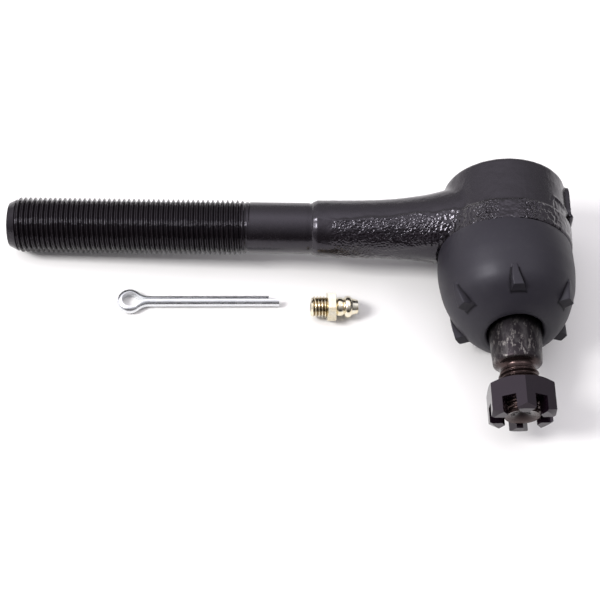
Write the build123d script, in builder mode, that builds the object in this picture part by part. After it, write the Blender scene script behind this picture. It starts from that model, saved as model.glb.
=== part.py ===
"""Greasable tie rod end with a two-piece half-ball joint.

The ball centre is the origin. The shank points along -X, the stud leaves the socket
along -Y, and +Z is up from the table that the part lies on. Millimetres throughout.
"""

import os
from math import asin, atan2, cos, degrees, radians, sin, sqrt, tan

from build123d import *

os.makedirs("parts", exist_ok=True)

# ---- shank: 5/8-18 UNF rolled on a smaller blank ----
thread_r = 7.875
blank_r = 7.3
neck_r = 7.95
tip_r = 6.2
tip_x = -141.7
thread_start_x = -138.5
thread_end_x = -74.2
neck_x = -53.8

# ---- socket ----
socket_r = 17.4
band_r = 18.0
spigot_r = 16.4
back_y = 13.3
parting_y = -1.2
shoulder_y = -8.0
relief_r = 20.5
front_y = -10.4
bore_r = 13.1
ledge_y = -6.3
mouth_in_r = 9.7
mouth_out_r = 13.4
cover_seat_y = 10.3
lip_r = 12.3

# ---- grease boss on the end of the socket, tapped 1/4-28 ----
boss_side = 10.8
boss_corner_r = 2.4
boss_y = 7.2
boss_face_x = 18.0
tap_r = 2.75

# ---- ball joint ----
ball_r = 11.0
gap = 0.06
stud_neck_r = 6.2
seat_top = 7.3
seat_floor = 2.2
seat_r = 12.8
race_r = 13.0
race_top = 1.9
race_bottom = -6.25
race_throat = -6.0
half_top = 0.3
half_bottom = -7.6
head_top = 6.4
spring_wire_r = 0.6
spring_rise = 1.7

# ---- stud: 7/16-20 UNF, seat taper 1:8 ----
taper_end = 42.2
taper_end_r = 6.72
taper_start = 16.0
stud_thread_r = 5.52
stud_length = 57.2
pin_hole_r = 1.75
pin_hole_at = 51.2

# ---- slotted nut ----
nut_flats = 17.1
nut_thickness = 9.8
nut_tip = 58.1
slot_width = 4.0
slot_depth = 4.3

# ---- boot ----
boot_r = 19.1
boot_wall = 2.0
boot_hole_r = 7.75
boot_end = -33.0
rib_count = 6
rib_phase = -2.0
rib_crest = 18.0
rib_start = 22.3
rib_end = 30.2

# ---- cotter pin ----
wire_r = 1.5
eye_r = 2.25
shoulder_bend_r = 6.0
leg_gap = 0.08
long_leg = 42.6
short_leg = 39.7

# ---- grease fitting ----
hex_flats = 7.94
hex_start = 4.6
hex_length = 2.4
check_ball_r = 1.19
check_ball_x = 11.95
check_wire_r = 0.15
check_coils = 6
check_spring_start = 1.4
check_spring_end = 10.95

# ---- table that the back rim, the boot and the tip of the shank rest on ----
table_z = -18.29
table_slope_x = -0.0731
table_slope_y = 0.0667

# the stud hangs a few degrees off the socket's axis, mostly towards the table
sag_angle = 5.17
sag_towards = 20.8
swing_axis = Axis((0, 0, 0), (cos(radians(sag_towards)), 0, sin(radians(sag_towards))))
stud_back = Vector(0, 1, 0).rotate(swing_axis, sag_angle)
stud_side = Vector(1, 0, 0).rotate(swing_axis, sag_angle)
stud_plane = Plane(origin=(0, 0, 0), x_dir=stud_side, z_dir=stud_side.cross(stud_back))
stud_axis = Axis((0, 0, 0), stud_back)


def across_stud(distance):
    """A plane square to the stud, this far out from the ball centre."""
    return Plane(origin=stud_back * -distance, x_dir=stud_side, z_dir=stud_back * -1)


# ---- socket housing: forged socket, neck and threaded shank in one ----
with BuildPart() as socket_housing:
    # shank, from the pointed tip to the start of the forged neck
    with BuildSketch(Plane.XY):
        with BuildLine():
            Polyline(
                (tip_x, 0),
                (tip_x, tip_r),
                (thread_start_x, thread_r),
                (thread_end_x, thread_r),
                (thread_end_x + 1.2, blank_r),
                (neck_x - 1.5, blank_r),
                (neck_x, neck_r),
                (neck_x + 2, neck_r),
                (neck_x + 2, 0),
                close=True,
            )
        make_face()
    revolve(axis=Axis.X)

    # neck, growing off centre into the socket
    sections = [
        (neck_x + 1.5, 0.0, neck_r, neck_r),
        (-38.0, 0.15, 8.1, 8.1),
        (-25.0, 0.6, 9.1, 9.0),
        (-13.5, 1.2, 11.6, 12.0),
    ]
    for x, shift, half_y, half_z in sections:
        with BuildSketch(Plane(origin=(x, shift, 0), x_dir=(0, 1, 0), z_dir=(1, 0, 0))):
            Ellipse(half_y, half_z)
    loft()

    # socket, with the unmachined band below the parting line and the spigot for the boot
    with BuildSketch(Plane.XY):
        with BuildLine():
            Polyline(
                (0, back_y),
                (socket_r - 0.9, back_y),
                (socket_r, back_y - 0.9),
                (socket_r, parting_y),
                (band_r, parting_y - 0.6),
                (band_r, shoulder_y),
                (spigot_r, shoulder_y),
                (spigot_r, front_y),
                (0, front_y),
                close=True,
            )
        make_face()
    revolve(axis=Axis.Y)

    # relief turned into the neck where the boot's rim sits
    with BuildSketch(Plane.XZ.offset(-shoulder_y)):
        Circle(relief_r)
        Circle(spigot_r, mode=Mode.SUBTRACT)
    extrude(amount=6, mode=Mode.SUBTRACT)

    # grease boss
    with BuildSketch(Plane.YZ.offset(bore_r + 1)):
        with Locations((boss_y, 0)):
            RectangleRounded(boss_side, boss_side, boss_corner_r)
    extrude(amount=boss_face_x - bore_r - 1)

    # cavity: cover seat under the rolled lip, bore, ball mouth
    with BuildSketch(Plane.XY):
        with BuildLine():
            Polyline(
                (0, back_y + 1),
                (lip_r, back_y + 1),
                (lip_r, back_y - 0.8),
                (bore_r + 1, back_y - 0.8),
                (bore_r + 1, cover_seat_y),
                (bore_r, cover_seat_y),
                (bore_r, ledge_y),
                (mouth_in_r, ledge_y),
                (mouth_out_r, front_y - 1),
                (0, front_y - 1),
                close=True,
            )
        make_face()
    revolve(axis=Axis.Y, mode=Mode.SUBTRACT)

    # tapped hole through the boss
    with BuildSketch(Plane.YZ.offset(bore_r - 1)):
        with Locations((boss_y, 0)):
            Circle(tap_r)
    extrude(amount=boss_face_x, mode=Mode.SUBTRACT)
socket_housing.part.label = "socket_housing"
export_step(socket_housing.part, "parts/socket_housing.step")

# ---- end cover: dished plate held by the rolled lip ----
with BuildPart() as end_cover:
    with BuildSketch(Plane.XY):
        with BuildLine():
            Polyline(
                (0, cover_seat_y + 1.1),
                (5.0, cover_seat_y + 1.1),
                (7.0, cover_seat_y + 0.02),
                (bore_r + 0.95, cover_seat_y + 0.02),
                (bore_r + 0.95, back_y - 0.82),
                (7.6, back_y - 0.82),
                (5.6, back_y - 0.1),
                (0, back_y - 0.1),
                close=True,
            )
        make_face()
    revolve(axis=Axis.Y)
end_cover.part.label = "end_cover"
export_step(end_cover.part, "parts/end_cover.step")

# ---- pressure seat: hardened cup that bears on the stud head ----
seat_ball_r = ball_r + gap
with BuildPart() as pressure_seat:
    with BuildSketch(Plane.XY):
        with BuildLine():
            Polyline(
                (sqrt(seat_ball_r**2 - seat_top**2), seat_top),
                (seat_r, seat_top),
                (seat_r, seat_floor),
                (sqrt(seat_ball_r**2 - seat_floor**2), seat_floor),
            )
            RadiusArc(
                (sqrt(seat_ball_r**2 - seat_floor**2), seat_floor),
                (sqrt(seat_ball_r**2 - seat_top**2), seat_top),
                -seat_ball_r,
            )
        make_face()
    revolve(axis=Axis.Y)
pressure_seat.part.label = "pressure_seat"
export_step(pressure_seat.part, "parts/pressure_seat.step")

# ---- preload spring: conical coil between the cup and the cover ----
with BuildPart() as preload_spring:
    with BuildLine() as coil:
        Helix(
            pitch=spring_rise / 1.4,
            height=spring_rise,
            radius=9.4,
            center=(0, seat_top + 0.05 + spring_wire_r, 0),
            direction=(0, 1, 0),
            cone_angle=40,
        )
    with BuildSketch(Plane(origin=coil.line @ 0, z_dir=coil.line % 0)):
        Circle(spring_wire_r)
    sweep(is_frenet=True)
preload_spring.part.label = "preload_spring"
export_step(preload_spring.part, "parts/preload_spring.step")

# ---- bearing seat: race ring in the socket that the half ball swings in ----
throat_r = sqrt(seat_ball_r**2 - race_throat**2)
with BuildPart() as bearing_seat:
    with BuildSketch(Plane.XY):
        with BuildLine():
            Polyline(
                (seat_ball_r, 0),
                (seat_ball_r, race_top),
                (race_r, race_top),
                (race_r, race_bottom),
                (throat_r, race_bottom),
                (throat_r, race_throat),
            )
            RadiusArc((throat_r, race_throat), (seat_ball_r, 0), -seat_ball_r)
        make_face()
    revolve(axis=Axis.Y)
bearing_seat.part.label = "bearing_seat"
export_step(bearing_seat.part, "parts/bearing_seat.step")

# ---- half ball: swings in the race, and the stud turns inside it ----
half_top_r = sqrt(ball_r**2 - half_top**2)
half_bottom_r = sqrt(ball_r**2 - half_bottom**2)
with BuildPart() as half_ball:
    with BuildSketch(stud_plane):
        with BuildLine():
            Polyline(
                (half_bottom_r, half_bottom),
                (stud_neck_r + gap, half_bottom),
                (stud_neck_r + gap, half_top),
                (half_top_r, half_top),
            )
            RadiusArc((half_top_r, half_top), (half_bottom_r, half_bottom), ball_r)
        make_face()
    revolve(axis=stud_axis)
half_ball.part.label = "half_ball"
export_step(half_ball.part, "parts/half_ball.step")

# ---- ball stud: domed head, neck, seat taper and thread ----
head_bottom = half_top + gap
head_r = sqrt(ball_r**2 - head_bottom**2)
crown_r = sqrt(ball_r**2 - head_top**2)
taper_start_r = taper_end_r + (taper_end - taper_start) / 16
with BuildPart() as ball_stud:
    with BuildSketch(stud_plane):
        with BuildLine():
            RadiusArc((head_r, head_bottom), (crown_r, head_top), -ball_r)
            Polyline(
                (crown_r, head_top),
                (0, head_top),
                (0, 1.2 - stud_length),
                (1.9, -stud_length),
                (4.55, -stud_length),
                (stud_thread_r, 0.9 - stud_length),
                (stud_thread_r, -taper_end - 2.6),
                (4.75, -taper_end - 1.8),
                (4.75, -taper_end - 1.0),
                (taper_end_r - 0.7, -taper_end - 0.7),
                (taper_end_r, -taper_end),
                (taper_start_r, -taper_start),
                (stud_neck_r, 1.6 - taper_start),
                (stud_neck_r, head_bottom),
                (head_r, head_bottom),
            )
        make_face()
    revolve(axis=stud_axis)

    # hole for the cotter pin
    with BuildSketch(Plane(origin=stud_back * -pin_hole_at, x_dir=stud_back, z_dir=stud_side)):
        Circle(pin_hole_r)
    extrude(amount=stud_thread_r + 2, both=True, mode=Mode.SUBTRACT)
ball_stud.part.label = "ball_stud"
export_step(ball_stud.part, "parts/ball_stud.step")

# ---- one rib of the boot: pointed towards the socket, blunt towards the stud ----
with BuildPart() as boot_rib:
    with BuildSketch(Plane(origin=(0, 0, 12), x_dir=(0, -1, 0), z_dir=(0, 0, 1))):
        with BuildLine():
            Polyline(
                (rib_start, 0.6),
                (26.5, 1.4),
                (rib_end, 1.8),
                (rib_end, -1.8),
                (26.5, -1.4),
                (rib_start, -0.6),
                close=True,
            )
        make_face()
    extrude(amount=9)
    with BuildSketch(Plane(origin=(0, 0, 0), x_dir=(0, 0, 1), z_dir=(-1, 0, 0))):
        with BuildLine():
            Polyline(
                (12, -rib_start),
                (rib_crest + 0.3, -rib_start),
                (rib_crest, -26.5),
                (rib_crest - 0.7, -rib_end),
                (12, -rib_end),
                close=True,
            )
        make_face()
    extrude(amount=3, both=True, mode=Mode.INTERSECT)

# ---- dust boot: bulbous rubber cover, open at the socket and tight round the stud ----
with BuildPart() as dust_boot:
    with BuildSketch(Plane.XY):
        with BuildLine():
            outside = Spline(
                (18.6, shoulder_y - 0.3),
                (19.05, -12.2),
                (boot_r, -16.5),
                (18.5, -21.0),
                (17.0, -25.3),
                (15.2, -28.4),
                (13.0, -30.8),
                (9.4, boot_end),
            )
            Line(outside @ 1, (0, boot_end))
            Line((0, boot_end), (0, boot_end + boot_wall + 0.6))
            inside = Spline(
                (9.0, boot_end + boot_wall + 0.6),
                (11.6, -28.8),
                (13.8, -26.3),
                (15.4, -23.4),
                (16.6, -20.0),
                (boot_r - boot_wall, -16.5),
                (17.0, -13.0),
                (spigot_r + 0.35, front_y - 0.4),
            )
            Line((0, boot_end + boot_wall + 0.6), inside @ 0)
            Polyline(inside @ 1, (spigot_r + 0.35, shoulder_y - 0.3), outside @ 0)
        make_face()
    revolve(axis=Axis.Y)

    # ribs
    for turn in range(rib_count):
        add(boot_rib.part.rotate(Axis.Y, rib_phase + turn * 360 / rib_count))

    # mouth, following the hanging stud
    with BuildSketch(across_stud(26)):
        Circle(boot_hole_r)
    extrude(amount=12, mode=Mode.SUBTRACT)
dust_boot.part.label = "dust_boot"
export_step(dust_boot.part, "parts/dust_boot.step")

# ---- slotted nut, run onto the end of the stud ----
hex_r = nut_flats / sqrt(3)
chamfer_r = 0.475 * nut_flats
with BuildPart() as slotted_nut:
    with BuildSketch(across_stud(nut_tip - nut_thickness)):
        RegularPolygon(hex_r, 6, rotation=90)
        Circle(stud_thread_r + 0.05, mode=Mode.SUBTRACT)
    extrude(amount=nut_thickness)

    # conical chamfers on both faces
    top = nut_thickness - nut_tip
    rise = (hex_r + 1 - chamfer_r) * tan(radians(30))
    with BuildSketch(stud_plane):
        with BuildLine():
            Polyline(
                (0, top),
                (chamfer_r, top),
                (hex_r + 1, top - rise),
                (hex_r + 1, rise - nut_tip),
                (chamfer_r, -nut_tip),
                (0, -nut_tip),
                close=True,
            )
        make_face()
    revolve(axis=stud_axis, mode=Mode.INTERSECT)

    # slots across the flats
    with BuildSketch(across_stud(nut_tip - slot_depth)):
        for turn in range(3):
            Rectangle(nut_flats + 6, slot_width, rotation=turn * 60)
    extrude(amount=slot_depth + 1, mode=Mode.SUBTRACT)
slotted_nut.part.label = "slotted_nut"
export_step(slotted_nut.part, "parts/slotted_nut.step")

# ---- the two small pieces lie loose on the table beside the shank ----
table_up = Vector(-table_slope_x, -table_slope_y, 1).normalized()
along_table = Vector(1, 0.061, table_slope_x + 0.061 * table_slope_y).normalized()


def over_table(x, y, lift):
    """The point this far above the table."""
    return Vector(x, y, table_z + table_slope_x * x + table_slope_y * y) + table_up * lift


# cotter pin: half-round wire bent into an eye and two legs side by side
pin_plane = Plane(origin=over_table(-107.1, -18.9, wire_r), x_dir=along_table, z_dir=table_up)
bend_x = sqrt((shoulder_bend_r + eye_r) ** 2 - (shoulder_bend_r + leg_gap) ** 2)
eye_half_turn = 180 - degrees(atan2(shoulder_bend_r + leg_gap, bend_x))
shoulder_turn = degrees(asin(bend_x / (shoulder_bend_r + eye_r)))
with BuildPart() as straight_pin:
    # one leg, the bend outwards and half of the eye, then their mirror image
    with BuildSketch(Plane.YZ.offset(bend_x)) as leg_section:
        with BuildLine():
            ThreePointArc((leg_gap, -wire_r), (leg_gap + wire_r, 0), (leg_gap, wire_r))
            Line((leg_gap, wire_r), (leg_gap, -wire_r))
        make_face()
    extrude(amount=short_leg - bend_x)
    revolve(
        leg_section.sketch,
        axis=Axis((bend_x, leg_gap + shoulder_bend_r, 0), (0, 0, -1)),
        revolution_arc=shoulder_turn,
    )
    with BuildSketch(Plane.XZ):
        with BuildLine():
            ThreePointArc((-eye_r, -wire_r), (-eye_r - wire_r, 0), (-eye_r, wire_r))
            Line((-eye_r, wire_r), (-eye_r, -wire_r))
        make_face()
    revolve(axis=Axis((0, 0, 0), (0, 0, -1)), revolution_arc=eye_half_turn)
    mirror(about=Plane.XZ)

    # the other leg is a little longer
    with BuildSketch(Plane.YZ.offset(short_leg)):
        with BuildLine():
            ThreePointArc((-leg_gap, -wire_r), (-leg_gap - wire_r, 0), (-leg_gap, wire_r))
            Line((-leg_gap, wire_r), (-leg_gap, -wire_r))
        make_face()
    extrude(amount=long_leg - short_leg)

with BuildPart() as cotter_pin:
    add(straight_pin.part.moved(pin_plane.location))
cotter_pin.part.label = "cotter_pin"
export_step(cotter_pin.part, "parts/cotter_pin.step")

# grease fitting: threaded end, hexagon, body and ball nose on one axis
fitting_plane = Plane(
    origin=over_table(-55.6, -18.95, hex_flats / 2), x_dir=along_table, z_dir=table_up
)
fitting_axis = Axis(fitting_plane.origin, fitting_plane.x_dir)
hex_plane = Plane(
    origin=fitting_plane.from_local_coords((hex_start, 0, 0)),
    x_dir=table_up,
    z_dir=fitting_plane.x_dir,
)
with BuildPart() as fitting_body:
    with BuildSketch(fitting_plane):
        with BuildLine():
            Polyline((0, 0), (0, 2.5), (0.7, 3.12), (4.3, 3.12), (4.6, 2.7), (7.0, 2.35), (7.4, 2.4))
            Spline((7.4, 2.4), (8.4, 2.75), (9.4, 2.4), tangents=((0.6, 1), (0.6, -1)))
            Spline((9.4, 2.4), (10.6, 3.15), (11.9, 2.4), tangents=((0.6, 1), (1, -0.6)))
            Polyline((11.9, 2.4), (13.3, 2.05), (13.5, 1.85), (13.5, 0), (0, 0))
        make_face()
    revolve(axis=fitting_axis)
    with BuildSketch(hex_plane):
        RegularPolygon(hex_flats / sqrt(3), 6, rotation=30)
    extrude(amount=hex_length)

    # grease passage: spring bore, ball chamber with its seat, and inlet
    with BuildSketch(fitting_plane):
        with BuildLine():
            Polyline((-1, 0), (-1, 1.45), (12.2, 1.45), (12.9, 0.8), (14, 0.8), (14, 0), close=True)
        make_face()
    revolve(axis=fitting_axis, mode=Mode.SUBTRACT)
fitting_body.part.label = "fitting_body"
export_step(fitting_body.part, "parts/fitting_body.step")

# ball valve in the nose of the fitting
with BuildPart() as check_ball:
    with Locations(fitting_plane.from_local_coords((check_ball_x, 0, 0))):
        Sphere(check_ball_r)
check_ball.part.label = "check_ball"
export_step(check_ball.part, "parts/check_ball.step")

# coil behind the ball
with BuildPart() as check_spring:
    with BuildLine() as small_coil:
        Helix(
            pitch=(check_spring_end - check_spring_start) / check_coils,
            height=check_spring_end - check_spring_start,
            radius=1.0,
            center=fitting_plane.from_local_coords((check_spring_start, 0, 0)),
            direction=fitting_plane.x_dir,
        )
    with BuildSketch(Plane(origin=small_coil.line @ 0, z_dir=small_coil.line % 0)):
        Circle(check_wire_r)
    sweep(is_frenet=True)
check_spring.part.label = "check_spring"
export_step(check_spring.part, "parts/check_spring.step")
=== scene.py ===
"""A tie rod end lying on a pale table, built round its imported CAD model.

Lengths inside the helpers are millimetres; MM turns them into Blender's metres.
"""

import math

import bmesh
import bpy
import numpy as np
from mathutils import Matrix, Vector, noise


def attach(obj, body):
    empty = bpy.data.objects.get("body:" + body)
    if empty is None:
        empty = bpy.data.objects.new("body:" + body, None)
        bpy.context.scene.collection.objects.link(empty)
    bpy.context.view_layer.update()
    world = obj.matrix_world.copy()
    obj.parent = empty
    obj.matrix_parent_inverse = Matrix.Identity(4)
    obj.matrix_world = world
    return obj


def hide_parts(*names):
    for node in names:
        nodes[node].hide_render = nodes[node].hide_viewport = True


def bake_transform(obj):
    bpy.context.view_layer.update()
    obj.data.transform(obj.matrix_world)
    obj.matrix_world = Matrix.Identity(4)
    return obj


MM = 0.001
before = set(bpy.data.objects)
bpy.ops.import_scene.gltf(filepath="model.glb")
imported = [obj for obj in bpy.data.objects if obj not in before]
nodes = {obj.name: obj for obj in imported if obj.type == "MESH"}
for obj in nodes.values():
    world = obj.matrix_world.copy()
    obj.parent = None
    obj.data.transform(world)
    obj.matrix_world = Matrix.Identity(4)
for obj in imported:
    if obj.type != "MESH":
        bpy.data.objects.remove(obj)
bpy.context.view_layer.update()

# ------------------------------------------------------------------ dimensions
THREAD_R = 7.875
BLANK_R = 7.3
TIP_X = -141.7
THREAD_END_X = -74.2
NECK_X = -53.8
CUT_X = -55.2
BLANK_END_X = -54.6
BACK_Y = 13.3
HALF_WIDTH = 19.1
PARTING_Y = -1.7
SHANK_PITCH = 25.4 / 18

STUD_SAG = math.radians(5.17)
SAG_TOWARDS = math.radians(20.8)
SAG_AXIS = Vector((math.cos(SAG_TOWARDS), 0, math.sin(SAG_TOWARDS)))
STUD_BASIS = np.array(Matrix.Rotation(STUD_SAG, 3, SAG_AXIS))
BALL_R = 11.0
TAPER_END = 42.2
TAPER_END_R = 6.72
TAPER_START = 16.0
TAPER_RATIO = 16
NECK_CUT_END = 43.6
COTTER_HOLE_OUT = 51.2
COTTER_HOLE_R = 1.75
STUD_THREAD_R = 5.52
STUD_END = 57.2
STUD_PITCH = 25.4 / 20

TABLE_Z = -18.29
TABLE_SLOPE_X = -0.0731
TABLE_SLOPE_Y = 0.0667
TABLE_UP = Vector((-TABLE_SLOPE_X, -TABLE_SLOPE_Y, 1)).normalized()

# the loose fitting lies on a flat of its hexagon, turned a little from the shank's direction
FITTING_FOOT_X = -55.6
FITTING_FOOT_Y = -18.95
FITTING_SKEW = 0.061
FITTING_AXIS_UP = 3.97
FITTING_X = Vector((1, FITTING_SKEW, TABLE_SLOPE_X + FITTING_SKEW * TABLE_SLOPE_Y)).normalized()
FITTING_FOOT_Z = TABLE_Z + FITTING_FOOT_X * TABLE_SLOPE_X + FITTING_FOOT_Y * TABLE_SLOPE_Y
FITTING_ORIGIN = Vector((FITTING_FOOT_X, FITTING_FOOT_Y, FITTING_FOOT_Z)) + TABLE_UP * FITTING_AXIS_UP
FITTING_PITCH = 25.4 / 28
FITTING_THREAD_R = 3.14
FITTING_BORE_R = 1.45


# ------------------------------------------------------------------ node helpers
def new_material(name):
    """A material, its node tree, its shader and the object coordinates."""
    mat = bpy.data.materials.new(name)
    mat.use_nodes = True
    tree = mat.node_tree
    shader = tree.nodes["Principled BSDF"]
    coords = tree.nodes.new("ShaderNodeTexCoord")
    return mat, tree, shader, coords.outputs["Object"]


def stretched(tree, vector, scale):
    """The same coordinates, stretched along the axes."""
    node = tree.nodes.new("ShaderNodeMapping")
    node.inputs["Scale"].default_value = scale
    tree.links.new(vector, node.inputs["Vector"])
    return node.outputs["Vector"]


def noise_of(tree, vector, per_mm, detail=3.0, roughness=0.55, distortion=0.0):
    """Smooth noise with so many features to the millimetre."""
    node = tree.nodes.new("ShaderNodeTexNoise")
    node.inputs["Scale"].default_value = per_mm / MM
    node.inputs["Detail"].default_value = detail
    node.inputs["Roughness"].default_value = roughness
    node.inputs["Distortion"].default_value = distortion
    tree.links.new(vector, node.inputs["Vector"])
    return node.outputs["Fac"]


def cells_of(tree, vector, per_mm, smooth=0.6):
    """Rounded cells, for scale on a forging."""
    node = tree.nodes.new("ShaderNodeTexVoronoi")
    node.feature = "SMOOTH_F1"
    node.inputs["Scale"].default_value = per_mm / MM
    node.inputs["Smoothness"].default_value = smooth
    tree.links.new(vector, node.inputs["Vector"])
    return node.outputs["Distance"]


def spread(tree, value, low, high, to_low=0.0, to_high=1.0):
    """The value's range low to high, mapped to another range."""
    node = tree.nodes.new("ShaderNodeMapRange")
    node.inputs["From Min"].default_value = low
    node.inputs["From Max"].default_value = high
    node.inputs["To Min"].default_value = to_low
    node.inputs["To Max"].default_value = to_high
    tree.links.new(value, node.inputs["Value"])
    return node.outputs["Result"]


def maths(tree, operation, first, second):
    node = tree.nodes.new("ShaderNodeMath")
    node.operation = operation
    for socket, value in zip(node.inputs, (first, second)):
        if isinstance(value, (int, float)):
            socket.default_value = value
        else:
            tree.links.new(value, socket)
    return node.outputs["Value"]


def blend_colours(tree, factor, first, second):
    node = tree.nodes.new("ShaderNodeMix")
    node.data_type = "RGBA"
    tree.links.new(factor, node.inputs["Factor"])
    for socket, value in ((node.inputs[6], first), (node.inputs[7], second)):
        if isinstance(value, tuple):
            socket.default_value = (*value, 1)
        else:
            tree.links.new(value, socket)
    return node.outputs[2]


def bump(tree, shader, *layers):
    """Stack of (height, depth in mm) layers on the shader's normal."""
    normal = None
    for height, depth in layers:
        node = tree.nodes.new("ShaderNodeBump")
        node.inputs["Strength"].default_value = 1.0
        node.inputs["Distance"].default_value = depth * MM
        tree.links.new(height, node.inputs["Height"])
        if normal:
            tree.links.new(normal, node.inputs["Normal"])
        normal = node.outputs["Normal"]
    tree.links.new(normal, shader.inputs["Normal"])


def attribute(tree, name):
    """A value stored on the mesh by store()."""
    node = tree.nodes.new("ShaderNodeAttribute")
    node.attribute_name = name
    return node.outputs["Fac"]


# ------------------------------------------------------------------ materials
def black_paint():
    """Black paint over forged steel: satin where it is smooth, wet and scaly where the skin is rough."""
    mat, tree, shader, vector = new_material("black_paint")
    rough_skin = attribute(tree, "rough_skin")
    oily_thread = attribute(tree, "oily_thread")
    gloss = maths(tree, "MAXIMUM", attribute(tree, "wet_skin"), oily_thread)
    broad = noise_of(tree, vector, 0.09, 3)
    fine = noise_of(tree, vector, 1.1, 4, 0.6)
    colour = blend_colours(tree, broad, (0.0030, 0.0022, 0.0030), (0.0065, 0.0050, 0.0060))
    tree.links.new(colour, shader.inputs["Base Color"])
    satin = spread(tree, fine, 0.3, 0.7, 0.21, 0.29)
    wet = spread(tree, fine, 0.3, 0.7, 0.07, 0.13)
    mix = tree.nodes.new("ShaderNodeMix")
    tree.links.new(gloss, mix.inputs[0])
    tree.links.new(satin, mix.inputs[2])
    tree.links.new(wet, mix.inputs[3])
    tree.links.new(mix.outputs[0], shader.inputs["Roughness"])
    tree.links.new(spread(tree, oily_thread, 0, 1, 0.52, 0.30), shader.inputs["Specular IOR Level"])
    shader.inputs["Specular Tint"].default_value = (0.93, 0.88, 1.0, 1)
    scale = maths(tree, "MULTIPLY", cells_of(tree, vector, 1.5, 0.4), rough_skin)
    grain = maths(tree, "MULTIPLY", noise_of(tree, vector, 3.2, 3), rough_skin)
    peel = noise_of(tree, vector, 0.4, 2)
    knocks = maths(tree, "MULTIPLY", noise_of(tree, vector, 0.8, 3), oily_thread)
    bump(tree, shader, (peel, 0.04), (scale, 0.24), (grain, 0.07), (knocks, 0.12), (fine, 0.006))
    return mat


def boot_rubber():
    """Matt black rubber with a little dust, and painted shade in the creases round its ribs."""
    mat, tree, shader, vector = new_material("boot_rubber")
    broad = noise_of(tree, vector, 0.07, 4, 0.6)
    dust = spread(tree, noise_of(tree, vector, 0.35, 5, 0.7), 0.52, 0.8)
    base = blend_colours(tree, broad, (0.0135, 0.0120, 0.0165), (0.0180, 0.0162, 0.0210))
    colour = blend_colours(tree, maths(tree, "MULTIPLY", dust, 0.25), base, (0.030, 0.028, 0.031))
    # painted shade in the creases round the ribs: darker and less glossy there
    crease_shade = attribute(tree, "crease_shade")
    dark = blend_colours(tree, maths(tree, "MULTIPLY", crease_shade, 0.8), colour, (0.002, 0.0018, 0.002))
    tree.links.new(dark, shader.inputs["Base Color"])
    tree.links.new(spread(tree, broad, 0.3, 0.7, 0.42, 0.52), shader.inputs["Roughness"])
    tree.links.new(spread(tree, crease_shade, 0, 1, 0.29, 0.08), shader.inputs["Specular IOR Level"])
    shader.inputs["Specular Tint"].default_value = (0.93, 0.92, 1.0, 1)
    fine = noise_of(tree, vector, 5.0, 3)
    bump(tree, shader, (noise_of(tree, vector, 0.3, 2), 0.04), (fine, 0.006))
    return mat


def stud_metal():
    """Blotchy phosphate and heat tint over turned steel, streaked along the stud."""
    mat, tree, shader, vector = new_material("stud_metal")
    along = stretched(tree, vector, (1.0, 0.5, 1.0))
    blotch = spread(tree, noise_of(tree, along, 0.42, 5, 0.66, 0.6), 0.46, 0.60)
    fleck = spread(tree, noise_of(tree, along, 0.75, 5, 0.75), 0.54, 0.62)
    tint = noise_of(tree, vector, 0.16, 2)
    dark = blend_colours(tree, tint, (0.016, 0.013, 0.016), (0.026, 0.021, 0.024))
    light = blend_colours(tree, tint, (0.050, 0.047, 0.051), (0.070, 0.063, 0.061))
    mixed = blend_colours(tree, blotch, dark, light)
    colour = blend_colours(tree, maths(tree, "MULTIPLY", fleck, 0.6), mixed, (0.30, 0.28, 0.265))
    thread = attribute(tree, "oiled")
    oiled = blend_colours(tree, tint, (0.034, 0.023, 0.023), (0.070, 0.047, 0.043))
    clean = blend_colours(tree, thread, colour, oiled)
    # painted shadow of the boot's lip on the stud, and a darker end dimple
    boot_shadow_and_dark_dimple = blend_colours(tree, attribute(tree, "boot_shadow_and_dark_dimple"), clean, (0.004, 0.003, 0.004))
    tree.links.new(boot_shadow_and_dark_dimple, shader.inputs["Base Color"])
    shader.inputs["Metallic"].default_value = 0.9
    dull = spread(tree, blotch, 0, 1, 0.46, 0.30)
    roughness = maths(tree, "SUBTRACT", dull, maths(tree, "MULTIPLY", thread, 0.18))
    tree.links.new(roughness, shader.inputs["Roughness"])
    bump(tree, shader, (blotch, 0.015), (noise_of(tree, along, 3.0, 3), 0.01))
    return mat


def nut_finish():
    """Smooth black finish of the slotted nut."""
    mat, tree, shader, vector = new_material("nut_finish")
    broad = noise_of(tree, vector, 0.12, 3)
    fine = noise_of(tree, vector, 1.6, 4)
    colour = blend_colours(tree, broad, (0.0030, 0.0012, 0.0028), (0.0062, 0.0036, 0.0058))
    tree.links.new(colour, shader.inputs["Base Color"])
    tree.links.new(spread(tree, fine, 0.3, 0.7, 0.10, 0.20), shader.inputs["Roughness"])
    shader.inputs["Specular Tint"].default_value = (1.0, 0.88, 1.0, 1)
    shader.inputs["Specular IOR Level"].default_value = 0.40
    bump(tree, shader, (broad, 0.03), (fine, 0.008))
    return mat


def zinc_plate():
    """Bright zinc over drawn wire, for the cotter pin."""
    mat, tree, shader, vector = new_material("zinc_plate")
    along = stretched(tree, vector, (0.12, 1.0, 1.0))
    streak = noise_of(tree, along, 2.4, 3)
    broad = noise_of(tree, vector, 0.2, 3)
    colour = blend_colours(tree, broad, (0.62, 0.64, 0.66), (0.80, 0.81, 0.82))
    tree.links.new(colour, shader.inputs["Base Color"])
    shader.inputs["Metallic"].default_value = 1.0
    tree.links.new(spread(tree, streak, 0.3, 0.7, 0.20, 0.34), shader.inputs["Roughness"])
    bump(tree, shader, (streak, 0.01))
    return mat


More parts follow.
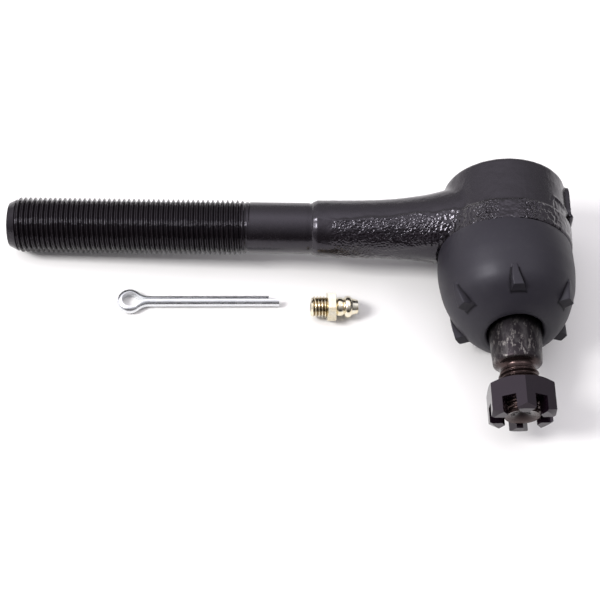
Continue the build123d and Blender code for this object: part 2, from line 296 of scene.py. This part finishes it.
def yellow_zinc():
    """Yellow passivated zinc, with painted shade in the thread's roots."""
    mat, tree, shader, vector = new_material("yellow_zinc")
    tint = spread(tree, noise_of(tree, vector, 0.45, 3), 0.35, 0.65)
    colour = blend_colours(tree, tint, (0.84, 0.74, 0.52), (0.82, 0.79, 0.68))
    # painted shade in the thread's roots
    thread_root_shade = attribute(tree, "thread_root_shade")
    tree.links.new(blend_colours(tree, thread_root_shade, colour, (0.26, 0.19, 0.10)), shader.inputs["Base Color"])
    shader.inputs["Metallic"].default_value = 1.0
    fine = noise_of(tree, vector, 2.0, 3)
    tree.links.new(spread(tree, fine, 0.3, 0.7, 0.14, 0.24), shader.inputs["Roughness"])
    bump(tree, shader, (fine, 0.006))
    return mat


def bare_steel():
    """Greased steel, for the pieces inside."""
    mat, tree, shader, vector = new_material("bare_steel")
    grease = spread(tree, noise_of(tree, vector, 0.25, 4), 0.45, 0.65)
    colour = blend_colours(tree, grease, (0.42, 0.42, 0.43), (0.20, 0.18, 0.15))
    tree.links.new(colour, shader.inputs["Base Color"])
    shader.inputs["Metallic"].default_value = 1.0
    fine = noise_of(tree, vector, 1.8, 3)
    tree.links.new(spread(tree, fine, 0.3, 0.7, 0.22, 0.38), shader.inputs["Roughness"])
    bump(tree, shader, (fine, 0.01))
    return mat


# ------------------------------------------------------------------ mesh helpers
def make_object(name, verts, faces, material, sharp=38.0, weld=True):
    """An object from vertices in millimetres."""
    mesh = bpy.data.meshes.new(name)
    mesh.from_pydata((np.asarray(verts) * MM).tolist(), [], faces)
    bm = bmesh.new()
    bm.from_mesh(mesh)
    if weld:
        bmesh.ops.remove_doubles(bm, verts=bm.verts, dist=2e-7)
        bmesh.ops.dissolve_degenerate(bm, edges=bm.edges, dist=1e-8)
    bmesh.ops.recalc_face_normals(bm, faces=bm.faces)
    bm.to_mesh(mesh)
    bm.free()
    return link_object(name, mesh, material, sharp)


def link_object(name, mesh, material, sharp=38.0):
    """The mesh as an object in the scene, smooth up to the sharp angle in degrees."""
    mesh.shade_smooth()
    mesh.set_sharp_from_angle(angle=math.radians(sharp))
    mesh.materials.clear()
    mesh.materials.append(material)
    piece = bpy.data.objects.new(name, mesh)
    bpy.context.collection.objects.link(piece)
    return piece


def skin(rings, first=0, cap_start=None, cap_end=None):
    """Quads over rings[row, column, xyz], closed round the columns; caps close to a point."""
    rows, columns, _ = rings.shape
    index = first + np.arange(rows * columns).reshape(rows, columns)
    beside = np.roll(index, -1, axis=1)
    quads = np.stack([index[:-1], beside[:-1], beside[1:], index[1:]], axis=-1)
    verts = rings.reshape(-1, 3)
    faces = quads.reshape(-1, 4).tolist()
    for cap, row in ((cap_start, 0), (cap_end, -1)):
        if cap is not None:
            tip = first + len(verts)
            verts = np.vstack([verts, cap])
            faces += [[a, b, tip] for a, b in zip(index[row], beside[row])]
    return verts, faces


def join(parts):
    """One vertex list and one face list from several skins."""
    verts, faces = [], []
    count = 0
    for part_verts, part_faces in parts:
        verts.append(part_verts)
        faces += [[i + count for i in face] for face in part_faces]
        count += len(part_verts)
    return np.vstack(verts), faces


def rings_of(stations, columns):
    """Plain rings round an axis: (distance, radius) stations to [row, column, (distance, c, s)]."""
    turn = np.linspace(0, 2 * np.pi, columns, endpoint=False)
    along, radius = np.array(stations).T
    grid = np.empty((len(stations), columns, 3))
    grid[..., 0] = along[:, None]
    grid[..., 1] = radius[:, None] * np.cos(turn)
    grid[..., 2] = radius[:, None] * np.sin(turn)
    return grid


THREAD_STEPS = (
    (0.0, 0.0),
    (0.055, 0.03),
    (0.10, 0.12),
    (0.23, 0.52),
    (0.36, 0.90),
    (0.43, 0.985),
    (0.5, 1.0),
    (0.57, 0.985),
    (0.64, 0.90),
    (0.77, 0.52),
    (0.90, 0.12),
    (0.945, 0.03),
)


def threaded_rings(start, end, envelope, major, pitch, columns):
    """Rings that follow the helix, so that crests and roots stay crisp."""
    depth = 0.60 * pitch
    turn = np.arange(columns) / columns
    turns = int(math.ceil((end - start) / pitch)) + 1
    rows = [(k + u, cut) for k in range(-1, turns) for u, cut in THREAD_STEPS]
    lead = np.array([row[0] for row in rows])[:, None]
    cut = np.array([row[1] for row in rows])[:, None]
    along = start + (lead + turn[None, :]) * pitch
    # the ring one pitch on closes the seam, so the columns run once round the helix
    along = np.hstack([along, along[:, :1] + pitch])
    angle = np.append(turn, 1.0) * 2 * np.pi
    clipped = np.clip(along, start, end)
    limit = np.interp(clipped, *np.array(envelope).T)
    radius = np.minimum(limit, major - depth * cut)
    grid = np.empty(along.shape + (3,))
    grid[..., 0] = clipped
    grid[..., 1] = radius * np.cos(angle)
    grid[..., 2] = radius * np.sin(angle)
    # outside the ends every row sits on the end ring
    out = (along < start) | (along > end)
    grid[..., 1] = np.where(out, limit * np.cos(angle), grid[..., 1])
    grid[..., 2] = np.where(out, limit * np.sin(angle), grid[..., 2])
    rows_n, cols_n = grid.shape[:2]
    index = np.arange(rows_n * cols_n).reshape(rows_n, cols_n)
    quads = np.stack([index[:-1, :-1], index[:-1, 1:], index[1:, 1:], index[1:, :-1]], axis=-1)
    return grid.reshape(-1, 3), quads.reshape(-1, 4).tolist()


def smoothstep(value, low, high):
    """0 below low, 1 above high, and a soft step between."""
    t = np.clip((value - low) / (high - low), 0, 1)
    return t * t * (3 - 2 * t)


def neighbour_mean(points, pairs, degree):
    """For each vertex, the mean place of the vertices that share an edge with it."""
    first, second = pairs.T
    total = np.empty_like(points)
    for axis in range(3):
        from_second = np.bincount(first, points[second, axis], len(points))
        from_first = np.bincount(second, points[first, axis], len(points))
        total[:, axis] = from_second + from_first
    return total / degree[:, None]


def relax(mesh, passes, weight=1.0):
    """Laplacian smoothing of the mesh, all over or with a weight per vertex."""
    points = vertex_array(mesh)
    pairs = np.empty(len(mesh.edges) * 2, dtype=np.int64)
    mesh.edges.foreach_get("vertices", pairs)
    pairs = pairs.reshape(-1, 2)
    degree = np.bincount(pairs.ravel(), minlength=len(points)).astype(float)
    amount = np.broadcast_to(np.asarray(weight, float), (len(points),))[:, None] * 0.5
    for _ in range(passes):
        points = points + amount * (neighbour_mean(points, pairs, degree) - points)
    mesh.vertices.foreach_set("co", points.ravel())
    mesh.update()


def vertex_array(mesh, what="co"):
    """The vertices' places, or their normals, as rows of xyz."""
    values = np.empty(len(mesh.vertices) * 3)
    if what == "co":
        mesh.vertices.foreach_get("co", values)
    else:
        mesh.vertex_normals.foreach_get("vector", values)
    return values.reshape(-1, 3)


def store(mesh, name, values):
    """Keep one value for each vertex, for a material to read."""
    layer = mesh.attributes.new(name, "FLOAT", "POINT")
    layer.data.foreach_set("value", np.asarray(values, dtype=np.float32))


def applied(piece, sharp=38.0):
    """The piece with its modifiers applied."""
    graph = bpy.context.evaluated_depsgraph_get()
    mesh = bpy.data.meshes.new_from_object(piece.evaluated_get(graph))
    piece.modifiers.clear()
    piece.data = mesh
    mesh.shade_smooth()
    mesh.set_sharp_from_angle(angle=math.radians(sharp))
    return piece


# ------------------------------------------------------------------ threaded shank
def shank(material):
    """Threaded shank, its countersunk tip and the plain blank up to the neck."""
    columns = 144
    thread_stop = THREAD_END_X + 1.2
    envelope = [
        (TIP_X, 6.3),
        (-138.5, THREAD_R),
        (-76.4, THREAD_R),
        (-74.0, BLANK_R),
        (NECK_X, BLANK_R),
    ]
    thread = threaded_rings(TIP_X, thread_stop, envelope, THREAD_R, SHANK_PITCH, columns)
    tip = rings_of(
        [(TIP_X + 1.3, 0.9), (TIP_X + 0.2, 2.0), (TIP_X, 2.3), (TIP_X, 5.9), (TIP_X, 6.3)], columns
    )
    blank = rings_of(
        [(x, BLANK_R) for x in np.linspace(thread_stop, -56.3, 24)]
        + [(-55.7, BLANK_R - 0.18), (CUT_X, BLANK_R), (BLANK_END_X, BLANK_R)],
        columns,
    )
    parts = [
        thread,
        skin(tip, cap_start=(TIP_X + 1.9, 0, 0)),
        skin(blank, cap_end=(BLANK_END_X, 0, 0)),
    ]
    verts, faces = join(parts)
    piece = make_object("threaded_shank", verts, faces, material, sharp=50)
    x = vertex_array(piece.data)[:, 0] / MM
    store(piece.data, "oily_thread", 1 - smoothstep(x, THREAD_END_X - 0.5, THREAD_END_X + 1.5))
    return piece


# ------------------------------------------------------------------ forging
def parting_height(points):
    """Height of the forging's parting line round the socket: it steps up towards the boss."""
    angle = np.degrees(np.arctan2(points[:, 0], np.abs(points[:, 2])))
    x = points[:, 0]
    by_neck = smoothstep(x, -42, -22) * (1 - smoothstep(x, -17, -8))
    return 1.4 * by_neck + np.interp(angle, [-90, 36, 43, 90], [PARTING_Y, PARTING_Y + 0.1, 2.7, 2.8])


def forging(material):
    """Neck and socket: the CAD solid past the step, remeshed, blended and given a forged skin."""
    bm = bmesh.new()
    bm.from_mesh(nodes["socket_housing"].data)
    bmesh.ops.remove_doubles(bm, verts=bm.verts, dist=2e-6)
    cut = bmesh.ops.bisect_plane(
        bm,
        geom=bm.verts[:] + bm.edges[:] + bm.faces[:],
        plane_co=(CUT_X * MM, 0, 0),
        plane_no=(1, 0, 0),
        clear_inner=True,
    )
    rim = [e for e in cut["geom_cut"] if isinstance(e, bmesh.types.BMEdge)]
    bmesh.ops.triangle_fill(bm, edges=rim, use_beauty=True)
    bmesh.ops.recalc_face_normals(bm, faces=bm.faces)
    mesh = bpy.data.meshes.new("forging")
    bm.to_mesh(mesh)
    bm.free()
    piece = link_object("forging", mesh, material)
    voxels = piece.modifiers.new("voxels", "REMESH")
    voxels.mode = "VOXEL"
    voxels.voxel_size = 0.28 * MM
    applied(piece)
    mesh = piece.data
    relax(mesh, 2)

    # the hollow sweep where the neck runs into the socket
    points = vertex_array(mesh) / MM
    from_axis = np.hypot(points[:, 0], points[:, 2])
    weight = (
        smoothstep(-points[:, 0], 8.0, 11.5)
        * (1 - smoothstep(-points[:, 0], 25.0, 30.0))
        * smoothstep(from_axis, 16.6, 17.0)
        * (1 - smoothstep(points[:, 1], 11.4, 12.8))
        * smoothstep(points[:, 1], -7.4, -6.4)
    )
    relax(mesh, 55, weight)

    # outside surface, below the parting line
    points = vertex_array(mesh) / MM
    normals = vertex_array(mesh, "normal")
    from_axis = np.hypot(points[:, 0], points[:, 2])
    outside = np.where(points[:, 0] < -17.5, 1.0, smoothstep(from_axis, 16.0, 16.8))
    outside = outside * smoothstep(points[:, 1], -8.3, -7.6)
    wave = np.array([noise.noise(Vector(p) * 0.16) for p in points])
    ripple = np.array([noise.noise(Vector(p) * 0.55) for p in points])
    line = parting_height(points) + 0.9 * wave + 0.25 * ripple
    below = outside * smoothstep(line - points[:, 1], -0.35, 0.35)
    below = below * smoothstep(points[:, 0], -51.5, -47.0)
    lumps = np.array([noise.fractal(Vector(p) * 0.42, 0.8, 2.1, 3) for p in points])
    scales = np.array([noise.voronoi(Vector(p) * 0.95)[0][0] for p in points])
    offset = 0.13 + 0.05 * outside * lumps
    on_socket = smoothstep(points[:, 0], -24.0, -17.0)
    angle = np.degrees(np.arctan2(points[:, 0], np.abs(points[:, 2])))
    by_boss = smoothstep(angle, 38, 46)
    scaly = (0.14 + 0.30 * on_socket) * (1 - 0.7 * by_boss)
    offset += below * (0.18 + 0.05 * lumps + scaly * (0.45 - scales))

    # flash left along the parting line: a sharp ridge beside the boss, a lug opposite the shank
    ridge = np.exp(-(((points[:, 1] - line + 0.2) / 0.55) ** 2))
    offset += outside * ridge * (0.10 + 0.35 * by_boss) * (1 + 0.3 * ripple)
    lug = smoothstep(angle, 72, 82) * smoothstep(points[:, 1], -5.0, 0.5)
    offset += outside * lug * (1 - smoothstep(points[:, 1], 2.4, 3.2)) * 0.3
    points = points + normals * offset[:, None]

    # the neck comes close up to the boot's rim
    by_rim = (points[:, 0] < -12) & (points[:, 1] < -7.8) & (from_axis > 20.2)
    closer = np.where(by_rim, 0.65 * (1 - smoothstep(from_axis, 20.8, 24.0)), 0.0)
    points[:, 0] -= closer * points[:, 0] / from_axis
    points[:, 2] -= closer * points[:, 2] / from_axis
    # the skin stays inside the solid's own box
    points[:, 1] = np.minimum(points[:, 1], BACK_Y - 0.01)
    points[:, 2] = np.clip(points[:, 2], -HALF_WIDTH, HALF_WIDTH)
    points = points * MM
    mesh.vertices.foreach_set("co", points.ravel())
    mesh.update()
    relax(mesh, 1)

    # the skin is roughest in two patches on the socket
    patches = 0.4 + 2.4 * np.exp(-(((angle + 24) / 9) ** 2)) + 1.8 * np.exp(-(((angle - 15) / 9) ** 2))
    patches = 0.85 + on_socket * (patches * (1 - 0.7 * by_boss) - 0.85)
    store(mesh, "rough_skin", below * patches)
    store(mesh, "wet_skin", below * (1 - 0.5 * by_boss))
    mesh.shade_smooth()
    return piece


# ------------------------------------------------------------------ dust boot
BOOT_OUTSIDE = [
    (18.6, -8.3),
    (18.85, -10.0),
    (19.0, -12.2),
    (19.05, -14.5),
    (18.95, -17.0),
    (18.4, -21.0),
    (17.8, -23.2),
    (16.95, -25.4),
    (15.8, -27.6),
    (14.3, -29.6),
    (12.2, -31.5),
    (9.9, -32.7),
    (8.5, -33.0),
]
BOOT_INSIDE = [
    (7.9, -32.7),
    (7.6, -31.8),
    (7.7, -30.6),
    (9.4, -29.6),
    (11.8, -28.5),
    (13.8, -26.3),
    (15.3, -23.5),
    (16.5, -20.0),
    (17.0, -16.5),
    (17.0, -13.0),
    (16.75, -10.9),
    (16.75, -9.2),
    (17.1, -8.3),
    (17.9, -8.15),
]
RIB_START_Y = -22.6
RIB_ANGLES = [math.radians(-2.0 + 60.0 * k) for k in range(6)]
RIB_END_Y = -29.5


def catmull(points, steps):
    """A smooth run through the points."""
    points = np.array(points, float)
    padded = np.vstack([2 * points[0] - points[1], points, 2 * points[-1] - points[-2]])
    out = []
    for k in range(len(points) - 1):
        a, b, c, d = padded[k : k + 4]
        for t in np.arange(steps) / steps:
            out.append(
                0.5
                * (2 * b + (c - a) * t + (2 * a - 5 * b + 4 * c - d) * t**2 + (3 * b - a - 3 * c + d) * t**3)
            )
    out.append(points[-1])
    return np.array(out)


def boot(material):
    """Bulb of rubber with six ribs, its mouth drawn after the hanging stud."""
    outside = catmull(BOOT_OUTSIDE, 10)
    inside = catmull([BOOT_OUTSIDE[-1]] + BOOT_INSIDE + [BOOT_OUTSIDE[0]], 4)[1:-1]
    # extra rings at the ribs' blunt ends
    for below_end in (0.35, 0.15, 0.03, -0.03, -0.15, -0.35):
        y = RIB_END_Y + below_end
        at = np.searchsorted(-outside[:, 1], -y)
        near, far = outside[at - 1], outside[at]
        t = (y - near[1]) / (far[1] - near[1])
        outside = np.insert(outside, at, near + (far - near) * t, axis=0)
    profile = np.vstack([outside, inside])
    is_outside = np.arange(len(profile)) < len(outside)

    # columns crowd together at the ribs
    angles = []
    for centre in RIB_ANGLES:
        angles += list(centre + np.radians(np.arange(-6.8, 6.81, 0.4)))
        angles += list(centre + np.radians(np.arange(8.5, 53.0, 2.3)))
    angles = np.sort(np.array(angles) % (2 * np.pi))

    radius = np.repeat(profile[:, :1], len(angles), axis=1)
    height = np.repeat(profile[:, 1:], len(angles), axis=1)
    turn = np.repeat(angles[None, :], len(profile), axis=0)
    # painted shade along the ribs' feet and under their blunt ends
    crease_shade = np.zeros_like(radius)
    for centre in RIB_ANGLES:
        aside = np.abs(np.sin(turn - centre)) * radius
        facing = np.cos(turn - centre) > 0.9
        half = np.interp(-height, [-RIB_START_Y, 26.5, 30.0], [0.8, 1.7, 2.0])
        crest = np.interp(-height, [-RIB_START_Y, 24.0, 27.0, 30.0], [18.2, 18.1, 17.7, 17.2])
        side = 1 - smoothstep(aside / half, 0.55, 1.0)
        there = facing & (height < RIB_START_Y) & (height > RIB_END_Y) & is_outside[:, None]
        raised = radius + np.maximum(crest - radius, 0) * side
        radius = np.where(there, raised, radius)

        foot = np.exp(-(((aside - half) / 0.30) ** 2)) * (height < -23.5) * (height > RIB_END_Y - 0.5)
        end = np.exp(-(((height - RIB_END_Y + 0.25) / 0.3) ** 2)) * (aside < half)
        crease_shade = np.maximum(crease_shade, np.where(facing & is_outside[:, None], np.maximum(foot, end), 0.0))

    points = np.stack([radius * np.sin(turn), height, radius * np.cos(turn)], axis=-1)
    # the hanging stud drags the boot's mouth down
    lean = smoothstep(-height, 12.0, 31.5)
    mouth = smoothstep(-height, 24.0, 33.0)
    points[..., 1] += 0.035 * lean * points[..., 0]
    points[..., 0] += -0.8 + 0.85 * lean + 0.9 * mouth
    points[..., 1] += 0.10 * mouth * points[..., 2]
    points[..., 2] += -0.5 * lean - (1.2 - 0.9 * np.cos(turn)) * mouth
    verts, faces = skin(points)
    # the last ring closes back on the first
    rows, columns = points.shape[:2]
    last = np.arange((rows - 1) * columns, rows * columns)
    first = np.arange(columns)
    faces += np.stack([last, np.roll(last, -1), np.roll(first, -1), first], axis=-1).tolist()
    piece = make_object("rubber_boot", verts, faces, material, sharp=48, weld=False)
    # the painted crease shade, kept for the rubber to darken
    store(piece.data, "crease_shade", crease_shade.ravel())
    return piece


# ------------------------------------------------------------------ stud
def on_stud(verts):
    """From (out along the stud, side, up) to the object's axes."""
    local = np.stack([verts[:, 1], -verts[:, 0], verts[:, 2]], axis=-1)
    return local @ STUD_BASIS.T


def taper_r(out):
    """The stud's radius on its 1:8 taper, so far out from the ball's centre."""
    return TAPER_END_R + (TAPER_END - out) / TAPER_RATIO


def stud(material):
    """Ball stud: domed head, taper, thread and the hole for the cotter pin."""
    columns = 120
    head = [(-6.4, 8.7)]
    head += [(-BALL_R * math.sin(a), BALL_R * math.cos(a)) for a in np.linspace(0.62, 0.033, 14)]
    body = [(-0.36, 6.25), (0.2, 6.2), (13.9, 6.2), (14.4, 6.3), (15.6, taper_r(TAPER_START) - 0.3)]
    body += [(TAPER_START, taper_r(TAPER_START)), (30.0, taper_r(30.0))]
    body += [(41.2, TAPER_END_R + 0.06), (41.8, TAPER_END_R - 0.06), (42.15, 6.3), (42.4, 5.75)]
    body += [(42.7, 5.15), (43.1, 4.9), (NECK_CUT_END, 4.85)]
    plain = rings_of(head + body, columns)
    envelope = [(NECK_CUT_END, 4.85), (44.3, 5.0), (45.0, STUD_THREAD_R)]
    envelope += [(STUD_END - 1.0, STUD_THREAD_R), (STUD_END, 4.75)]
    thread = threaded_rings(NECK_CUT_END, STUD_END, envelope, STUD_THREAD_R, STUD_PITCH, columns)
    dimple = [(0.0, 4.75), (0.05, 4.3), (0.35, 2.6), (1.0, 1.4), (1.6, 0.4)]
    end = rings_of([(STUD_END - deep, radius) for deep, radius in dimple], columns)
    parts = [
        skin(plain, cap_start=(-6.4, 0, 0)),
        thread,
        skin(end, cap_end=(STUD_END - 1.8, 0, 0)),
    ]
    verts, faces = join(parts)
    piece = make_object("turned_stud", on_stud(verts), faces, material, sharp=50)

    # hole for the cotter pin
    drill = rings_of([(-9.0, COTTER_HOLE_R), (9.0, COTTER_HOLE_R)], 40)
    verts, faces = skin(drill, cap_start=(-9.0, 0, 0), cap_end=(9.0, 0, 0))
    across = np.stack([verts[:, 0], -COTTER_HOLE_OUT + verts[:, 1], verts[:, 2]], axis=-1) @ STUD_BASIS.T
    cutter = make_object("drill", across, faces, material)
    hole = piece.modifiers.new("hole", "BOOLEAN")
    hole.object = cutter
    hole.operation = "DIFFERENCE"
    hole.solver = "EXACT"
    applied(piece, 50)
    bpy.data.objects.remove(cutter)

    # oil on the thread; painted shadow of the boot's lip on the stud beside the boot, and darker in the
    # end's dimple
    sideways, inwards, upward = (vertex_array(piece.data) / MM @ STUD_BASIS).T
    out = -inwards
    from_axis = np.hypot(sideways, upward)
    store(piece.data, "oiled", smoothstep(out, 41.6, 42.6))
    # painted shadow under the boot's lip, reaching further on the stud's upper side
    reach = 33.4 + 2.2 * np.maximum(upward, 0) / np.maximum(from_axis, 0.1)
    boot_lip_shadow = 1 - smoothstep(out - reach, -0.5, 0.5)
    centre = 0.85 * (1 - smoothstep(from_axis, 1.4, 4.0)) * (out > STUD_END - 1.9)
    store(piece.data, "boot_shadow_and_dark_dimple", np.maximum(boot_lip_shadow, centre))
    return piece


# ------------------------------------------------------------------ grease fitting
def fitting(material):
    """Grease fitting: thread, hexagon and the two-bump nose, with its bore."""
    columns = 96
    basis = np.array([FITTING_X, TABLE_UP.cross(FITTING_X), TABLE_UP])
    envelope = [(0.0, 2.45), (0.8, FITTING_THREAD_R), (4.1, FITTING_THREAD_R), (4.5, 2.75), (5.0, 2.75)]
    thread = threaded_rings(0.0, 4.7, envelope, FITTING_THREAD_R, FITTING_PITCH, columns)
    nose_profile = [(4.7, 2.6), (7.0, 2.35), (7.25, 2.25)]
    nose_profile += [(8.3 - math.cos(a), 2.3 + 0.45 * math.sin(a)) for a in np.linspace(0, math.pi, 12)]
    nose_profile += [
        (10.55 - 1.1 * math.cos(a), 2.35 + 0.8 * math.sin(a)) for a in np.linspace(0, math.pi * 0.95, 14)
    ]
    nose_profile += [(12.0, 2.3), (13.1, 2.05), (13.4, 1.95), (13.5, 1.75), (13.5, 0.85), (13.0, 0.8)]
    nose_profile += [(12.2, 1.4), (4.0, FITTING_BORE_R), (0.0, FITTING_BORE_R)]
    mouth = rings_of([(0.0, FITTING_BORE_R), (0.0, 2.45)], columns)
    hexagon = []
    for along, radius in ((4.5, 4.15), (4.72, 4.56), (6.85, 4.56), (7.1, 4.15)):
        turn = np.radians(60 * np.arange(6))
        hexagon.append(np.stack([np.full(6, along), radius * np.cos(turn), radius * np.sin(turn)], axis=-1))
    parts = [
        thread,
        skin(rings_of(nose_profile, columns)),
        skin(mouth),
        skin(np.array(hexagon), cap_start=(4.5, 0, 0), cap_end=(7.1, 0, 0)),
    ]
    verts, faces = join(parts)
    placed = verts @ basis + np.array(FITTING_ORIGIN)
    piece = make_object("fitting_shell", placed, faces, material, sharp=32)
    local = (vertex_array(piece.data) / MM - np.array(FITTING_ORIGIN)) @ basis.T
    radius = np.hypot(local[:, 1], local[:, 2])
    # painted shade in the roots of the fitting's thread
    root_shade_mask = smoothstep(3.1 - radius, 0.1, 0.45) * (radius > 2.0) * (local[:, 0] < 4.6) * (local[:, 0] > 0.5)
    store(piece.data, "thread_root_shade", root_shade_mask)
    return piece


# ------------------------------------------------------------------ build
paint = black_paint()
rubber = boot_rubber()
steel = bare_steel()
zinc = zinc_plate()

shank_piece = shank(paint)
forging_piece = forging(paint)
for piece in (shank_piece, forging_piece):
    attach(piece, "housing")
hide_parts("socket_housing")
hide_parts("socket_housing")

boot_piece = boot(rubber)
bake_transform(boot_piece)
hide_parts("dust_boot")

stud_piece = stud(stud_metal())
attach(stud_piece, "stud")
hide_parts("ball_stud")

fitting_piece = fitting(yellow_zinc())
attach(fitting_piece, "grease_fitting")
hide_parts("fitting_body")

# the valve's coil is squeezed between the fitting and the ball
coil = bpy.data.objects.new("valve_coil", nodes["check_spring"].data.copy())
coil.matrix_world = nodes["check_spring"].matrix_world.copy()
bpy.context.collection.objects.link(coil)
coil.data.materials.clear()
coil.data.materials.append(steel)
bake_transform(coil)
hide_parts("check_spring")


def dress(name, material, bevel=0.0):
    """A CAD node shown as it is: its material, and its edges eased."""
    node = nodes[name]
    node.data.materials.clear()
    node.data.materials.append(material)
    if bevel:
        ease = node.modifiers.new("eased_edges", "BEVEL")
        ease.width = bevel * MM
        ease.segments = 3
        ease.limit_method = "ANGLE"
        ease.angle_limit = math.radians(28)


dress("end_cover", paint, 0.1)
dress("slotted_nut", nut_finish(), 0.22)
dress("cotter_pin", zinc, 0.12)
for name in ("preload_spring", "pressure_seat", "bearing_seat", "half_ball", "check_ball"):
    dress(name, steel)

# ------------------------------------------------------------------ table, light, camera
table_mesh = bpy.data.meshes.new("table")
across = Vector((1, 0, 0)).cross(TABLE_UP).cross(TABLE_UP) * -1
along = TABLE_UP.cross(across)
middle = Vector((0, 0, (TABLE_Z - 0.05) * MM))
corners = [middle + across * a + along * b for a, b in ((-3, -3), (3, -3), (3, 3), (-3, 3))]
table_mesh.from_pydata([tuple(c) for c in corners], [], [(0, 1, 2, 3)])
table_top = bpy.data.objects.new("table", table_mesh)
bpy.context.collection.objects.link(table_top)
floor_mat, floor_tree, floor_shader, _ = new_material("table_white")
floor_shader.inputs["Base Color"].default_value = (0.81, 0.797, 0.783, 1)
floor_shader.inputs["Roughness"].default_value = 0.6
table_top.data.materials.append(floor_mat)

scene = bpy.context.scene
world = bpy.data.worlds.new("studio")
world.use_nodes = True
sky = world.node_tree
direction = sky.nodes.new("ShaderNodeTexCoord").outputs["Generated"]
split = sky.nodes.new("ShaderNodeSeparateXYZ")
sky.links.new(direction, split.inputs["Vector"])
# brightest just behind the zenith, dark low down on the camera's side of the room
across_room = maths(sky, "MULTIPLY", maths(sky, "SUBTRACT", 1.0, split.outputs["Y"]), 0.5)
shade = sky.nodes.new("ShaderNodeValToRGB")
shade.color_ramp.elements[0].position = 0.0
shade.color_ramp.elements[0].color = (0.44, 0.43, 0.45, 1)
shade.color_ramp.elements[1].position = 1.0
shade.color_ramp.elements[1].color = (0.03, 0.025, 0.03, 1)
for position, level in ((0.14, 0.55), (0.38, 1.0), (0.50, 0.82), (0.70, 0.46), (0.88, 0.20), (0.96, 0.06)):
    stop = shade.color_ramp.elements.new(position)
    stop.color = (level, level * 0.98, level * 1.04, 1)
sky.links.new(across_room, shade.inputs["Fac"])
sky.links.new(shade.outputs["Color"], sky.nodes["Background"].inputs["Color"])
# brighter overhead than low down, and brighter on the left than on the right
height = maths(sky, "ADD", maths(sky, "MULTIPLY", split.outputs["Z"], 0.5), 0.5)
right_squared = maths(sky, "MULTIPLY", split.outputs["X"], split.outputs["X"])
sideways = maths(sky, "SUBTRACT", 1.0, maths(sky, "MULTIPLY", split.outputs["X"], 0.32))
sideways = maths(sky, "SUBTRACT", sideways, maths(sky, "MULTIPLY", right_squared, 0.28))
level = maths(sky, "MULTIPLY", maths(sky, "MULTIPLY", height, sideways), 2.0)
sky.links.new(level, sky.nodes["Background"].inputs["Strength"])
scene.world = world
scene.view_settings.view_transform = "Standard"


def softbox(name, towards, distance, width, depth, watts):
    """An area light over the table, its width along the shank."""
    light = bpy.data.lights.new(name, "AREA")
    light.shape = "RECTANGLE"
    light.size = width
    light.size_y = depth
    light.energy = watts
    lamp = bpy.data.objects.new(name, light)
    direction = Vector(towards).normalized()
    sideways = (Vector((1, 0, 0)) - direction * direction.x).normalized()
    place = Vector((-0.05, 0, 0)) + direction * distance
    facing = Matrix((sideways, direction.cross(sideways), direction)).transposed()
    lamp.matrix_world = Matrix.Translation(place) @ facing.to_4x4()
    bpy.context.collection.objects.link(lamp)


softbox("key", (-0.62, -0.245, 0.77), 1.0, 0.36, 0.25, 9.0)
softbox("fill", (0.50, -0.08, 0.86), 1.0, 0.24, 0.24, 0.9)

# focal length over the picture's width
FOCAL_PER_WIDTH = 71 / 30
CAMERA_PLACE = Vector((-52.8, -231.8, 334.2)) * MM
camera_data = bpy.data.cameras.new("camera")
camera_data.sensor_width = 36.0
camera_data.lens = camera_data.sensor_width * FOCAL_PER_WIDTH
camera_data.clip_start = 0.01
camera_data.clip_end = 20.0
camera = bpy.data.objects.new("camera", camera_data)
right = Vector((0.9998, 0.0193, -0.0043))
back = Vector((0.0139, -0.5277, 0.8493)).normalized()
upward = back.cross(right).normalized()
right = upward.cross(back)
camera_turn = Matrix((right, upward, back)).transposed()
camera.matrix_world = Matrix.Translation(CAMERA_PLACE) @ camera_turn.to_4x4()
bpy.context.collection.objects.link(camera)
scene.camera = camera

bpy.context.view_layer.update()
